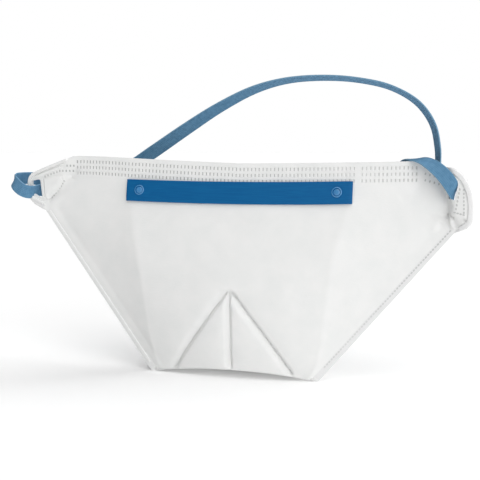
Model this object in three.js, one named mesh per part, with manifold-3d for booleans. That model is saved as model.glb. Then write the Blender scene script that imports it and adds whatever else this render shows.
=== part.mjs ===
// Fold-flat respirator: an open pouch of white laminate that stands on its folded edge, a blue
// nose clip and one flat elastic head strap. Millimetres, +X to the wearer's left, +Y to the face
// side, +Z up. The tables below are measured from the middle of the folded edge's two corners.
import * as THREE from 'three';
import { mergeVertices } from 'three/addons/utils/BufferGeometryUtils.js';
import Module from 'manifold-3d';

const wasm = await Module();
wasm.setup();

// Driving sizes
const wall = 1.3; // laminate
const seamShare = 0.74; // share of the height at which the side seams end at the ear tabs
const apexShare = 0.376; // share of the height at which the pressed creases meet
const crease = { depth: 1.1, spread: 1.8, cutoff: 0.08, slope: 0.77, fadeShare: 0.08 };
const flange = { width: 2.8, root: 1.6, lap: 2, turn: THREE.MathUtils.degToRad(38) };
const dip = { fold: 3.5, hem: 1.5 }; // powers by which the rows curve down from side to middle
const fullness = 2.6; // power by which the back panel rounds off towards its seams
const soleShare = 0.06; // share of the height over which the sole leaves the folded edge
const hollow = { firstShare: 0.01, leastGap: 3.1, raise: 8 };
const tab = { thickness: 1.6, steps: 16, bottom: 58, top: 98, front: -10, back: 30 };
const clip = { halfLength: 49.4, top: 82.6, height: 9.2, thickness: 0.9, droop: 0.7, gap: 0.4, steps: 16 };
const stake = { inset: 6.3, radius: 1.7, height: 0.6, crown: 0.7, sink: 0.2, lean: 0.18, sides: 16 };
const strap = { width: 6, thickness: 0.7, steps: 132 };

// Where each side seam starts and ends, and where the hem ends
const sides = {
  left: {
    fold: new THREE.Vector3(-34, 0, 0),
    top: new THREE.Vector3(-90.2, 10.2, 69.6),
    hem: new THREE.Vector3(-77.8, 9.4, 92.6),
  },
  right: {
    fold: new THREE.Vector3(33, 0, 0),
    top: new THREE.Vector3(87.4, 10, 63.6),
    hem: new THREE.Vector3(77, 9.4, 90.9),
  },
};

// Front panel, from the fold (rise 0) to the hem (rise 1): its middle, the pressed crease and the
// soft edge where its side faces turn back
const frontRows = [
  { rise: 0, middleY: -5.6, middleZ: 3.6, pleatX: 26.6, edgeX: 29, edgeY: -4.8 },
  { rise: 0.05, middleY: -6.1, middleZ: 7.9, pleatX: 23.2, edgeX: 33.8, edgeY: -4.7 },
  { rise: 0.15, middleY: -7.0, middleZ: 16.5, pleatX: 16.4, edgeX: 36.8, edgeY: -5.0 },
  { rise: 0.376, middleY: -7.8, middleZ: 36, pleatX: 1.0, edgeX: 40, edgeY: -4.4 },
  { rise: 0.6, middleY: -5.4, middleZ: 55.3, pleatX: 10, edgeX: 43.4, edgeY: -2.2 },
  { rise: 0.82, middleY: 0.3, middleZ: 74.3, pleatX: 18, edgeX: 48, edgeY: 3.6 },
  { rise: 1, middleY: 3.4, middleZ: 89.8, pleatX: 23, edgeX: 52, edgeY: 6.4 },
];

// Back panel: its middle runs under the pouch as a narrow sole, then up to a lower hem
const backRows = [
  { rise: 0, middleY: -5.6, middleZ: 3.6 },
  { rise: 0.03, middleY: 2, middleZ: 2.2 },
  { rise: 0.08, middleY: 9, middleZ: -0.4 },
  { rise: 0.13, middleY: 15, middleZ: -1.2 },
  { rise: 0.19, middleY: 18.5, middleZ: 4 },
  { rise: 0.27, middleY: 20.8, middleZ: 13 },
  { rise: 0.4, middleY: 22.6, middleZ: 27 },
  { rise: 0.6, middleY: 24, middleZ: 47 },
  { rise: 0.8, middleY: 24.4, middleZ: 64 },
  { rise: 1, middleY: 24, middleZ: 80 },
];

// Net of both panels. Columns count 0 at the middle, 1 at the pleat, 2 at the soft edge and 3 at
// the side
const columnSteps = [0, 0.08, 0.3, 0.6, 0.88, 1, 1.35, 2, 2.25, 2.5, 2.75, 3];
const rowSteps = [
  0, 0.012, 0.03, 0.055, 0.08, 0.13, 0.19, 0.25, 0.31, apexShare,
  0.43, 0.5, 0.57, 0.64, 0.69, seamShare, 0.8, 0.86, 0.92, 1,
];

// Each ear tab: its outline from where it leaves the panels, the slot for the strap, and how it
// bends in plan
const tabs = {
  left: {
    outline: [
      { x: -74, z: 89 }, { x: -77.8, z: 92.5 }, { x: -99.5, z: 84.9 }, { x: -101.2, z: 82.1 },
      { x: -101, z: 73.9 }, { x: -99.4, z: 71.9 }, { x: -97.6, z: 70.5 }, { x: -92.4, z: 68.8 },
      { x: -88, z: 71 },
    ],
    slot: [
      { x: -98.6, z: 81.6 }, { x: -95, z: 82.3 }, { x: -94.1, z: 73.4 }, { x: -98.4, z: 73.4 },
      { x: -99.1, z: 74.2 },
    ],
    bend: [{ x: -103, y: 11 }, { x: -92, y: 10.4 }, { x: -72, y: 9 }],
  },
  right: {
    outline: [
      { x: 73.5, z: 88 }, { x: 77, z: 90.8 }, { x: 88.2, z: 87.8 }, { x: 90.8, z: 86.7 },
      { x: 93.3, z: 84.3 }, { x: 96.5, z: 77.3 }, { x: 96.7, z: 66.5 }, { x: 95.5, z: 65 },
      { x: 91.9, z: 63.1 }, { x: 89.7, z: 62.6 }, { x: 85.5, z: 66 },
    ],
    slot: [
      { x: 87.5, z: 85.8 }, { x: 90.5, z: 86 }, { x: 89.9, z: 77.2 }, { x: 89.3, z: 72.9 },
      { x: 86.8, z: 72.9 }, { x: 86.9, z: 77 },
    ],
    bend: [
      { x: 71, y: 9 }, { x: 84, y: 9.9 }, { x: 86.8, y: 9.5 }, { x: 88.4, y: 8 }, { x: 90, y: 6.2 },
      { x: 92, y: 5 }, { x: 94.5, y: 4.6 }, { x: 98.5, y: 5.2 },
    ],
  },
};

// Route of the head strap, once round: through the left slot, round the tab, up over the top, down
// behind the right tab, out through the right slot, back over the hem and behind the pouch.
// acrossX, acrossY and acrossZ point along the band's width
const strapRoute = [
  { x: -96.9, y: 10.4, z: 77.6, acrossX: 0.06, acrossY: 0, acrossZ: 1 },
  { x: -99.4, y: 7.9, z: 76.6, acrossX: 0.26, acrossY: 0, acrossZ: 0.96 },
  { x: -104, y: 7.2, z: 78, acrossX: 0.48, acrossY: 0, acrossZ: 0.88 },
  { x: -108.3, y: 10, z: 81.6, acrossX: 0.38, acrossY: 0, acrossZ: 0.93 },
  { x: -106, y: 13.4, z: 82.2, acrossX: 0.12, acrossY: 0, acrossZ: 0.99 },
  { x: -99, y: 15.6, z: 82.2, acrossX: 0, acrossY: 0, acrossZ: 1 },
  { x: -86, y: 18.2, z: 81.2, acrossX: -0.05, acrossY: 0, acrossZ: 1 },
  { x: -72, y: 21.8, z: 81.2, acrossX: -0.3, acrossY: 0, acrossZ: 0.95 },
  { x: -58, y: 24, z: 86.8, acrossX: -0.5, acrossY: -0.3, acrossZ: 0.81 },
  { x: -45, y: 24, z: 94.8, acrossX: -0.48, acrossY: -0.42, acrossZ: 0.77 },
  { x: -29.1, y: 22.5, z: 104.6, acrossX: -0.43, acrossY: -0.59, acrossZ: 0.69 },
  { x: -12.8, y: 21, z: 114, acrossX: -0.3, acrossY: -0.78, acrossZ: 0.55 },
  { x: 3, y: 20, z: 121.2, acrossX: -0.15, acrossY: -0.89, acrossZ: 0.42 },
  { x: 17, y: 19.5, z: 124.7, acrossX: -0.05, acrossY: -0.94, acrossZ: 0.32 },
  { x: 33, y: 19, z: 125.6, acrossX: 0, acrossY: -0.95, acrossZ: 0.3 },
  { x: 48.5, y: 18.5, z: 124.3, acrossX: 0.06, acrossY: -0.95, acrossZ: 0.28 },
  { x: 62.5, y: 18, z: 120.8, acrossX: 0.16, acrossY: -0.94, acrossZ: 0.28 },
  { x: 73.5, y: 17.5, z: 114.2, acrossX: 0.3, acrossY: -0.92, acrossZ: 0.2 },
  { x: 79.6, y: 17, z: 105.6, acrossX: 0.32, acrossY: -0.94, acrossZ: 0.1 },
  { x: 81.8, y: 16.5, z: 96, acrossX: 0.3, acrossY: -0.95, acrossZ: 0 },
  { x: 82.4, y: 16.5, z: 87, acrossX: 0.3, acrossY: -0.93, acrossZ: 0.2 },
  { x: 85.6, y: 15.4, z: 79.6, acrossX: 0.2, acrossY: -0.6, acrossZ: 0.75 },
  { x: 88.4, y: 10.8, z: 77, acrossX: 0.1, acrossY: 0, acrossZ: 0.99 },
  { x: 88.6, y: 7, z: 79.2, acrossX: 0.5, acrossY: 0.3, acrossZ: 0.8 },
  { x: 86.3, y: 5, z: 84.3, acrossX: 0.42, acrossY: 0.74, acrossZ: 0.5 },
  { x: 81.9, y: 5.4, z: 88.8, acrossX: 0.36, acrossY: 0.84, acrossZ: 0.4 },
  { x: 76.4, y: 7.8, z: 91.8, acrossX: 0.62, acrossY: 0.74, acrossZ: 0.15 },
  { x: 70.6, y: 13.2, z: 90.8, acrossX: 0.65, acrossY: 0.7, acrossZ: -0.2 },
  { x: 65, y: 18.4, z: 85.4, acrossX: 0.6, acrossY: 0.5, acrossZ: -0.55 },
  { x: 57, y: 23.4, z: 78, acrossX: 0.5, acrossY: 0.25, acrossZ: -0.8 },
  { x: 42, y: 26.8, z: 72, acrossX: 0.2, acrossY: 0.5, acrossZ: -0.85 },
  { x: 22, y: 29, z: 67, acrossX: 0.05, acrossY: 0.85, acrossZ: -0.4 },
  { x: 0, y: 29.6, z: 65.4, acrossX: 0, acrossY: 0.95, acrossZ: 0.3 },
  { x: -24, y: 28.2, z: 66, acrossX: 0, acrossY: 0.6, acrossZ: 0.8 },
  { x: -48, y: 24.6, z: 69.4, acrossX: 0, acrossY: 0.15, acrossZ: 0.98 },
  { x: -70, y: 18.4, z: 74, acrossX: 0, acrossY: 0, acrossZ: 1 },
  { x: -87, y: 13.8, z: 77.2, acrossX: 0, acrossY: 0, acrossZ: 1 },
  { x: -94.6, y: 13, z: 77.6, acrossX: 0, acrossY: 0, acrossZ: 1 },
];

const materials = {
  laminate: new THREE.MeshStandardMaterial({ color: 0xe9e9e8, roughness: 0.9, metalness: 0 }),
  clip: new THREE.MeshStandardMaterial({ color: 0x1c5d90, roughness: 0.5, metalness: 0 }),
  elastic: new THREE.MeshStandardMaterial({ color: 0x527f9f, roughness: 0.75, metalness: 0 }),
};

// A smooth curve through one column of a table, read by its first column
function tableCurve(rows, key) {
  const places = rows.map((row) => row.rise ?? row.x);
  const values = rows.map((row) => row[key]);
  const curve = new THREE.CubicInterpolant(places, values, 1);
  return (place) => curve.evaluate(place)[0];
}

const front = Object.fromEntries(
  ['middleY', 'middleZ', 'pleatX', 'edgeX', 'edgeY'].map((key) => [key, tableCurve(frontRows, key)]),
);
const back = Object.fromEntries(
  ['middleY', 'middleZ'].map((key) => [key, tableCurve(backRows, key)]),
);

// The side edge: straight up the seam, then straight in to the end of the hem
function sidePoint(sign, rise) {
  const side = sign < 0 ? sides.left : sides.right;
  if (rise <= seamShare) return side.fold.clone().lerp(side.top, rise / seamShare);
  return side.top.clone().lerp(side.hem, (rise - seamShare) / (1 - seamShare));
}

// Distance of a column from the middle of the front panel
function frontReach(column, rise) {
  const sign = Math.sign(column) || 1;
  const lines = [0, front.pleatX(rise), front.edgeX(rise), Math.abs(sidePoint(sign, rise).x)];
  const step = Math.min(Math.floor(Math.abs(column)), 2);
  return THREE.MathUtils.lerp(lines[step], lines[step + 1], Math.abs(column) - step);
}

// How deep the pressed creases are at a place: one down the middle and one along each pleat
function creaseDip(reach, rise) {
  const fade = THREE.MathUtils.smoothstep(apexShare - rise, 0, crease.fadeShare);
  const aside = Math.abs(reach - front.pleatX(rise)) * crease.slope;
  const nearest = Math.min(aside, reach);
  return crease.depth * fade * Math.max(0, Math.exp(-nearest / crease.spread) - crease.cutoff);
}

function frontPoint(column, rise) {
  const sign = Math.sign(column) || 1;
  const side = sidePoint(sign, rise);
  const reach = frontReach(column, rise);
  const span = Math.abs(side.x);
  const edgeX = front.edgeX(rise);
  const edgeY = front.edgeY(rise);
  const inner = front.middleY(rise) + (edgeY - front.middleY(rise)) * (reach / edgeX) ** 2;
  const outer = edgeY + (side.y - edgeY) * (reach - edgeX) / (span - edgeX);
  const flare = THREE.MathUtils.lerp(dip.fold, dip.hem, rise);
  const z = THREE.MathUtils.lerp(front.middleZ(rise), side.z, (reach / span) ** flare);
  const y = (reach < edgeX ? inner : outer) + creaseDip(reach, rise);
  return new THREE.Vector3(sign * reach, y, z);
}

function backPoint(column, rise) {
  const sign = Math.sign(column) || 1;
  const side = sidePoint(sign, rise);
  const share = frontReach(column, 0) / frontReach(3 * sign, 0);
  const fold = frontPoint(column, 0);
  const blend = THREE.MathUtils.smoothstep(rise, 0, soleShare);
  const full = 1 - share ** fullness;
  const foldY = fold.y / frontRows[0].middleY;
  const foldZ = fold.z / frontRows[0].middleZ;
  const y = side.y + (back.middleY(rise) - side.y) * THREE.MathUtils.lerp(foldY, full, blend);
  const z = side.z + (back.middleZ(rise) - side.z) * THREE.MathUtils.lerp(foldZ, full, blend);
  return new THREE.Vector3(side.x * share, y, Math.max(0, z));
}

// Into the pouch, square to a panel
function inward(point, column, rise) {
  const step = 0.01;
  const low = Math.max(0, rise - step);
  const high = Math.min(1, rise + step);
  const across = point(column + step, rise).sub(point(column - step, rise));
  const up = point(column, high).sub(point(column, low));
  const normal = across.cross(up).normalize();
  return point === frontPoint ? normal.negate() : normal;
}

// A closed three.js geometry as a solid for joining and cutting
function solid(geometry) {
  const plain = geometry.clone();
  plain.deleteAttribute('normal');
  plain.deleteAttribute('uv');
  const merged = mergeVertices(plain, 1e-4);
  const vertProperties = Float32Array.from(merged.attributes.position.array);
  const triVerts = Uint32Array.from(merged.index.array);
  return new wasm.Manifold(new wasm.Mesh({ numProp: 3, vertProperties, triVerts }));
}

function fromTriangles(corners) {
  const geometry = new THREE.BufferGeometry().setFromPoints(corners);
  geometry.setIndex([...corners.keys()]);
  return geometry;
}

// Triangles of a net of points, leaving out those that have shrunk to a line
function net(rows, flip = false) {
  const corners = [];
  const add = (a, b, c) => {
    if (a.distanceTo(b) < 1e-4 || b.distanceTo(c) < 1e-4 || c.distanceTo(a) < 1e-4) return;
    corners.push(...(flip ? [a, c, b] : [a, b, c]));
  };
  for (let i = 0; i < rows.length - 1; i += 1) {
    for (let j = 0; j < rows[i].length - 1; j += 1) {
      add(rows[i][j], rows[i][j + 1], rows[i + 1][j + 1]);
      add(rows[i][j], rows[i + 1][j + 1], rows[i + 1][j]);
    }
  }
  return corners;
}

const columns = [...columnSteps.slice(1).reverse().map((step) => -step), ...columnSteps];

function closedPouch(frontNet, backNet) {
  const top = rowSteps.length - 1;
  const lid = net([frontNet.at(-1), backNet.at(-1)]);
  return fromTriangles([...net(frontNet), ...net(backNet, true), ...lid]);
}

function outerPouch() {
  const frontNet = rowSteps.map((rise) => columns.map((column) => frontPoint(column, rise)));
  const backNet = rowSteps.map((rise) => columns.map((column) => backPoint(column, rise)));
  return closedPouch(frontNet, backNet);
}

// The column at which the two panels close in on each other, where the hollow ends
function hollowColumn(sign, rise) {
  let near = 0;
  let far = 3;
  for (let i = 0; i < 30; i += 1) {
    const middle = (near + far) / 2;
    const gap = frontPoint(sign * middle, rise).distanceTo(backPoint(sign * middle, rise));
    if (gap > hollow.leastGap) near = middle;
    else far = middle;
  }
  return near;
}

function innerPouch() {
  const rows = rowSteps.filter((rise) => rise > hollow.firstShare);
  const frontNet = [];
  const backNet = [];
  for (const rise of rows) {
    const limits = { left: hollowColumn(-1, rise), right: hollowColumn(1, rise) };
    const frontRow = [];
    const backRow = [];
    for (const column of columns) {
      const limit = column < 0 ? limits.left : limits.right;
      const place = THREE.MathUtils.clamp(column, -limit, limit);
      const onFront = frontPoint(place, rise).addScaledVector(inward(frontPoint, place, rise), wall);
      const onBack = backPoint(place, rise).addScaledVector(inward(backPoint, place, rise), wall);
      if (Math.abs(place) === limit || rise === rows[0]) {
        onFront.lerp(onBack, 0.5);
        onBack.copy(onFront);
      }
      frontRow.push(onFront);
      backRow.push(onBack);
    }
    frontNet.push(frontRow);
    backNet.push(backRow);
  }
  const raise = (row) => row.map((point) => point.clone().setZ(point.z + hollow.raise));
  frontNet.push(raise(frontNet.at(-1)));
  backNet.push(raise(backNet.at(-1)));
  return closedPouch(frontNet, backNet);
}

// A closed body through sections that have the same number of points
function loft(sections, closed = false) {
  const rings = sections.map((section) => [...section, section[0]]);
  if (closed) return fromTriangles(net([...rings, rings[0]]));
  const fan = (ring) => ring.slice(1, -2).flatMap((point, i) => [ring[0], point, ring[i + 2]]);
  const last = fan(rings.at(-1));
  const first = fan(rings[0]);
  for (let i = 0; i < first.length; i += 3) first.splice(i + 1, 2, first[i + 2], first[i + 1]);
  return fromTriangles([...net(rings), ...first, ...last]);
}

// The welded flange outside a side seam, turned back a little
function makeFlange(side) {
  const along = side.top.clone().sub(side.fold).normalize();
  const sign = Math.sign(side.top.x);
  const out = new THREE.Vector3(sign * along.z, 0, -Math.abs(along.x)).normalize();
  const reach = out.multiplyScalar(Math.cos(flange.turn)).setY(Math.sin(flange.turn));
  const thick = new THREE.Vector3().crossVectors(along, reach).multiplyScalar(wall / 2);
  const stretch = flange.lap / side.top.distanceTo(side.fold);
  const shares = rowSteps.filter((rise) => rise < seamShare).map((rise) => rise / seamShare);
  const sections = [...shares, 1, 1 + stretch].map((share) => {
    const seam = side.fold.clone().lerp(side.top, share);
    const root = seam.clone().addScaledVector(reach, -flange.root);
    const tip = seam.clone().addScaledVector(reach, flange.width);
    const ring = [
      root.clone().sub(thick), tip.clone().sub(thick), tip.clone().add(thick), root.clone().add(thick),
    ];
    for (const point of ring) point.z = Math.max(0, point.z);
    return ring;
  });
  return loft(sections);
}

// An outline in X and Z, carried through from the front to the back of the tabs
function prism(rows) {
  const shape = new THREE.Shape(rows.map((row) => new THREE.Vector2(row.x, row.z)));
  const geometry = new THREE.ExtrudeGeometry(shape, { depth: tab.back - tab.front, bevelEnabled: false });
  return geometry.rotateX(Math.PI / 2).translate(0, tab.back, 0);
}

function makeTab(table) {
  const bendY = tableCurve(table.bend, 'y');
  const first = table.bend[0].x;
  const last = table.bend.at(-1).x;
  const sections = [];
  for (let i = 0; i <= tab.steps; i += 1) {
    const x = THREE.MathUtils.lerp(first, last, i / tab.steps);
    const near = bendY(x) - tab.thickness / 2;
    const far = bendY(x) + tab.thickness / 2;
    sections.push([
      new THREE.Vector3(x, near, tab.bottom), new THREE.Vector3(x, far, tab.bottom),
      new THREE.Vector3(x, far, tab.top), new THREE.Vector3(x, near, tab.top),
    ]);
  }
  return solid(loft(sections)).intersect(solid(prism(table.outline)));
}

function toGeometry(manifold) {
  const mesh = manifold.getMesh();
  const geometry = new THREE.BufferGeometry();
  geometry.setAttribute('position', new THREE.BufferAttribute(mesh.vertProperties, 3));
  geometry.setIndex(new THREE.BufferAttribute(mesh.triVerts, 1));
  return geometry;
}

function makeShell() {
  let body = solid(outerPouch());
  for (const side of Object.values(sides)) body = body.add(solid(makeFlange(side)));
  for (const table of Object.values(tabs)) body = body.add(makeTab(table));
  body = body.subtract(solid(innerPouch()));
  for (const table of Object.values(tabs)) body = body.subtract(solid(prism(table.slot)));
  return new THREE.Mesh(toGeometry(body), materials.laminate);
}

// The point of the front panel's outside at a given X and Z, found by stepping towards it
function onFront(x, z) {
  const columnWidth = 30;
  const panelHeight = 90;
  let rise = z / panelHeight;
  let column = x / columnWidth;
  for (let i = 0; i < 40; i += 1) {
    const point = frontPoint(column, rise);
    rise += (z - point.z) / panelHeight;
    column += (x - point.x) / columnWidth;
  }
  return frontPoint(column, rise);
}

// One of the formed studs by which the clip is staked to the panel
function makeStake(x) {
  const out = new THREE.Vector3(0, -1, stake.lean).normalize();
  const profile = [
    new THREE.Vector2(0, 0), new THREE.Vector2(stake.radius, 0),
    new THREE.Vector2(stake.radius, stake.height / 2),
    new THREE.Vector2(stake.radius * stake.crown, stake.height), new THREE.Vector2(0, stake.height),
  ];
  const seat = onFront(x, clip.top - clip.height / 2);
  seat.addScaledVector(out, clip.gap + clip.thickness - stake.sink);
  const turn = new THREE.Quaternion().setFromUnitVectors(new THREE.Vector3(0, 1, 0), out);
  return new THREE.LatheGeometry(profile, stake.sides).applyQuaternion(turn).translate(...seat);
}

function makeClip() {
  const sections = [];
  for (let i = 0; i <= clip.steps; i += 1) {
    const x = THREE.MathUtils.lerp(-clip.halfLength, clip.halfLength, i / clip.steps);
    const top = clip.top - clip.droop * (1 - (x / clip.halfLength) ** 2);
    const high = onFront(x, top);
    const low = onFront(x, top - clip.height);
    const out = new THREE.Vector3(0, low.z - high.z, high.y - low.y).normalize();
    const lift = (point, distance) => point.clone().addScaledVector(out, distance);
    const outside = clip.gap + clip.thickness;
    sections.push([lift(low, clip.gap), lift(high, clip.gap), lift(high, outside), lift(low, outside)]);
  }
  const reach = clip.halfLength - stake.inset;
  let body = solid(loft(sections));
  for (const x of [-reach, reach]) body = body.add(solid(makeStake(x)));
  return new THREE.Mesh(toGeometry(body), materials.clip);
}

function makeStrap() {
  const places = strapRoute.map((row) => new THREE.Vector3(row.x, row.y, row.z));
  const widths = strapRoute.map((row) => new THREE.Vector3(row.acrossX, row.acrossY, row.acrossZ));
  const route = new THREE.CatmullRomCurve3(places, true, 'centripetal');
  const across = new THREE.CatmullRomCurve3(widths, true, 'catmullrom');
  const sections = [];
  for (let i = 0; i < strap.steps; i += 1) {
    const share = route.getUtoTmapping(i / strap.steps);
    const middle = route.getPoint(share);
    const along = route.getTangent(share);
    const wide = across.getPoint(share);
    wide.addScaledVector(along, -wide.dot(along)).setLength(strap.width / 2);
    const thick = new THREE.Vector3().crossVectors(along, wide).setLength(strap.thickness / 2);
    sections.push([
      middle.clone().sub(wide).add(thick), middle.clone().sub(wide).sub(thick),
      middle.clone().add(wide).sub(thick), middle.clone().add(wide).add(thick),
    ]);
  }
  return new THREE.Mesh(toGeometry(solid(loft(sections, true))), materials.elastic);
}

const respirator = new THREE.Group();
const pieces = { shell: makeShell(), nose_clip: makeClip(), head_strap: makeStrap() };
for (const [name, mesh] of Object.entries(pieces)) {
  mesh.name = name;
  respirator.add(mesh);
}
const box = new THREE.Box3().setFromObject(respirator);
respirator.position.set(-(box.min.x + box.max.x) / 2, -(box.min.y + box.max.y) / 2, -box.min.z);

export default respirator;
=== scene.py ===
import bpy
import bmesh
from math import cos, exp, pi, radians, sin
from mathutils import Matrix, Vector, noise
from mathutils.bvhtree import BVHTree


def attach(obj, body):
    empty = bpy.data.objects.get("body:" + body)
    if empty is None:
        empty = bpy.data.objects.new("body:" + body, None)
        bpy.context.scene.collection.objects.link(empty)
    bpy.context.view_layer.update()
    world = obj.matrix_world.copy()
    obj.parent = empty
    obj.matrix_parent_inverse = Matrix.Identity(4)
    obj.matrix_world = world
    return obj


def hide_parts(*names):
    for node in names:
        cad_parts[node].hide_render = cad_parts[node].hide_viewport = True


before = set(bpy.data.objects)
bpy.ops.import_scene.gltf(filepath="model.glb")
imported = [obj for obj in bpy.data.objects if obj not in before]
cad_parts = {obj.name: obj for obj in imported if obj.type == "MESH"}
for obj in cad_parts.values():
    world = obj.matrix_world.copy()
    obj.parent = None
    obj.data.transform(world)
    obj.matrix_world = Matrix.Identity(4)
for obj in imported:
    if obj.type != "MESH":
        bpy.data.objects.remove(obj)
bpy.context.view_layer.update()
print("loaded", sorted(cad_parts))

mm = 0.001
tableOrigin = Vector((6.692, -12.420, 0))  # mm, where the tables count from: the middle of the fold


def lerp(a, b, share):
    return a + (b - a) * share


def clamp(value, low=0.0, high=1.0):
    return max(low, min(high, value))


def smoothStep(value, low, high):
    share = clamp((value - low) / (high - low))
    return share * share * (3 - 2 * share)


def tableCurve(places, values):
    # smooth curve through one column of a table, held level beyond its ends
    def evaluate(place):
        if place <= places[0]:
            return values[0]
        if place >= places[-1]:
            return values[-1]
        i = 1
        while places[i] < place:
            i += 1
        start, end = places[i - 1], places[i]
        before, beforeAt = (i - 2, places[i - 2]) if i > 1 else (i, end)
        after, afterAt = (i + 1, places[i + 1]) if i + 1 < len(places) else (i - 1, start)
        pull = (end - start) / 2 / (start - beforeAt)
        push = (end - start) / 2 / (afterAt - end)
        p = (place - start) / (end - start)
        return (values[before] * (-pull * p**3 + 2 * pull * p**2 - pull * p)
                + values[i - 1] * ((1 + pull) * p**3 + (-1.5 - 2 * pull) * p**2 + (-0.5 + pull) * p + 1)
                + values[i] * ((-1 - push) * p**3 + (1.5 + push) * p**2 + 0.5 * p)
                + values[after] * (push * p**3 - push * p**2))
    return evaluate


def alongLine(points, share):
    # place at a share of the length of a broken line
    lengths = [(b - a).length for a, b in zip(points, points[1:])]
    rest = clamp(share) * sum(lengths)
    for a, b, length in zip(points, points[1:], lengths):
        if rest <= length or b is points[-1]:
            return a.lerp(b, rest / length)
        rest -= length


def choose(*objects):
    bpy.ops.object.select_all(action="DESELECT")
    for obj in objects:
        obj.select_set(True)
    bpy.context.view_layer.objects.active = objects[-1]


def addMesh(name, points, faces):
    # points in the tables' frame, in millimetres
    mesh = bpy.data.meshes.new(name)
    mesh.from_pydata([(p + tableOrigin) * mm for p in points], [], faces)
    mesh.update()
    obj = bpy.data.objects.new(name, mesh)
    bpy.context.collection.objects.link(obj)
    return obj


def applyModifier(obj, kind, **settings):
    choose(obj)
    modifier = obj.modifiers.new(kind.title(), kind)
    for name, value in settings.items():
        setattr(modifier, name, value)
    bpy.ops.object.modifier_apply(modifier=modifier.name)


def srgb(code):
    parts = [int(code[i:i + 2], 16) / 255 for i in (1, 3, 5)]
    return [c / 12.92 if c <= 0.04045 else ((c + 0.055) / 1.055) ** 2.4 for c in parts] + [1.0]


def addNode(tree, kind, settings=None, values=None, links=None, stops=()):
    node = tree.nodes.new(kind)
    for name, value in (settings or {}).items():
        setattr(node, name, value)
    for name, value in (values or {}).items():
        node.inputs[name].default_value = value
    for name, socket in (links or {}).items():
        tree.links.new(socket, node.inputs[name])
    for i, (position, code) in enumerate(stops):  # a ramp starts with two stops
        stop = node.color_ramp.elements[i] if i < 2 else node.color_ramp.elements.new(position)
        stop.position, stop.color = position, srgb(code)
    return node


def newMaterial(name, base):
    material = bpy.data.materials.new(name)
    material.use_nodes = True
    tree = material.node_tree
    shader = tree.nodes["Principled BSDF"]
    for key, value in base.items():
        shader.inputs[key].default_value = value
    return material, tree, shader


def makeSpunbond():
    # spunbonded polypropylene nonwoven: matt white, a faint cloudiness where the web is thicker,
    # and fine fibres laid at random that catch the light
    look = {"cloud": 9.0, "fibre": 0.5, "long": 4.0}  # mm
    material, tree, shader = newMaterial("spunbondPolypropylene", {
        "Roughness": 0.88, "IOR": 1.49, "Specular IOR Level": 0.3,
        "Sheen Weight": 0.12, "Sheen Roughness": 0.5})
    place = addNode(tree, "ShaderNodeTexCoord").outputs["Object"]
    cloud = addNode(tree, "ShaderNodeTexNoise", values={
        "Scale": 1000 / look["cloud"], "Detail": 3.0, "Roughness": 0.55}, links={"Vector": place})
    tint = addNode(tree, "ShaderNodeValToRGB", links={"Fac": cloud.outputs[0]},
                   stops=((0.3, "#e6e7e6"), (0.7, "#ebebea")))
    tree.links.new(tint.outputs["Color"], shader.inputs["Base Color"])
    heights = []
    for turn in (25, -50, 85):
        laid = addNode(tree, "ShaderNodeMapping", values={
            "Rotation": (0, radians(turn), 0),
            "Scale": (1000 / look["long"], 1000 / look["fibre"], 1000 / look["fibre"])},
            links={"Vector": place})
        fibre = addNode(tree, "ShaderNodeTexNoise", values={
            "Scale": 1.0, "Detail": 2.0, "Roughness": 0.6}, links={"Vector": laid.outputs[0]})
        heights.append(fibre.outputs[0])
    crossed = addNode(tree, "ShaderNodeMath", {"operation": "MAXIMUM"},
                      links={0: heights[0], 1: heights[1]})
    crossed = addNode(tree, "ShaderNodeMath", {"operation": "MAXIMUM"},
                      links={0: crossed.outputs[0], 1: heights[2]})
    bump = addNode(tree, "ShaderNodeBump", values={"Strength": 0.35, "Distance": 0.00016},
                   links={"Height": crossed.outputs[0]})
    tree.links.new(bump.outputs["Normal"], shader.inputs["Normal"])
    return material


def makeSelvage():
    # the laminate crushed flat beside the seam weld: it has lost its loft, so it looks a shade duller;
    # on the left tab's lower strip this duller colour is a painted shade of the lower ply
    material, tree, shader = newMaterial("crushedLaminate", {"Roughness": 0.7, "IOR": 1.49})
    place = addNode(tree, "ShaderNodeTexCoord").outputs["Object"]
    ribs = addNode(tree, "ShaderNodeTexNoise", values={"Scale": 1400.0, "Detail": 2.0},
                   links={"Vector": place})
    tint = addNode(tree, "ShaderNodeValToRGB", links={"Fac": ribs.outputs[0]},
                   stops=((0, "#e1e1e1"), (1, "#e8e8e8")))
    tree.links.new(tint.outputs["Color"], shader.inputs["Base Color"])
    bump = addNode(tree, "ShaderNodeBump", values={"Strength": 0.3, "Distance": 0.00008},
                   links={"Height": ribs.outputs[0]})
    tree.links.new(bump.outputs["Normal"], shader.inputs["Normal"])
    return material


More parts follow.
